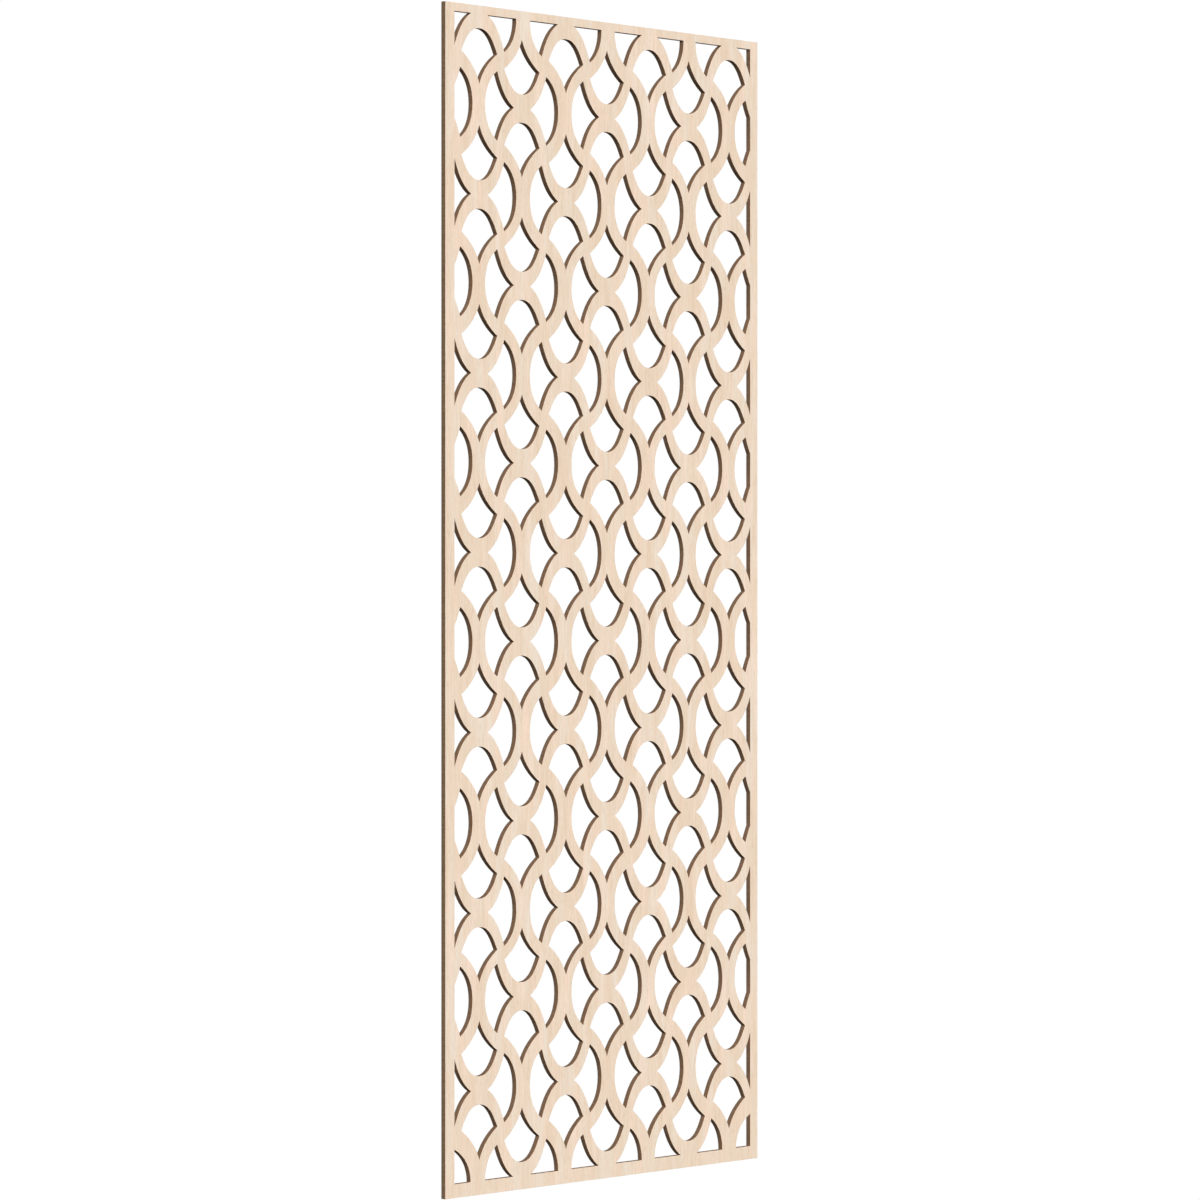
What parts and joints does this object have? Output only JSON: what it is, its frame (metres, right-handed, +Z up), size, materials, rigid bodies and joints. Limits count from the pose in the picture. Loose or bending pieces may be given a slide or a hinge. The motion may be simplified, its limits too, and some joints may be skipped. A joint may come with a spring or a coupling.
{
  "type": "carved fretwork grille",
  "caption": "Tall thin wooden fretwork panel, cut right through in a net of interlaced curved straps inside a narrow plain border, made to be fixed to a wall or set in a frame.",
  "frame": {"origin": "middle of the top rail on the back face, 7.1 mm below the top edge", "axes": "+Z up along the panel's height, +X along its width, +Y out of the back face towards the wall, so the front faces -Y"},
  "size_m": [0.8, 0.0095, 2],
  "materials": {
    "pale_wood": "sanded, unstained maple or birch with a dull clear finish"
  },
  "bodies": {
    "root": {"fretwork_panel": "pale_wood"}
  },
  "joints": []
}
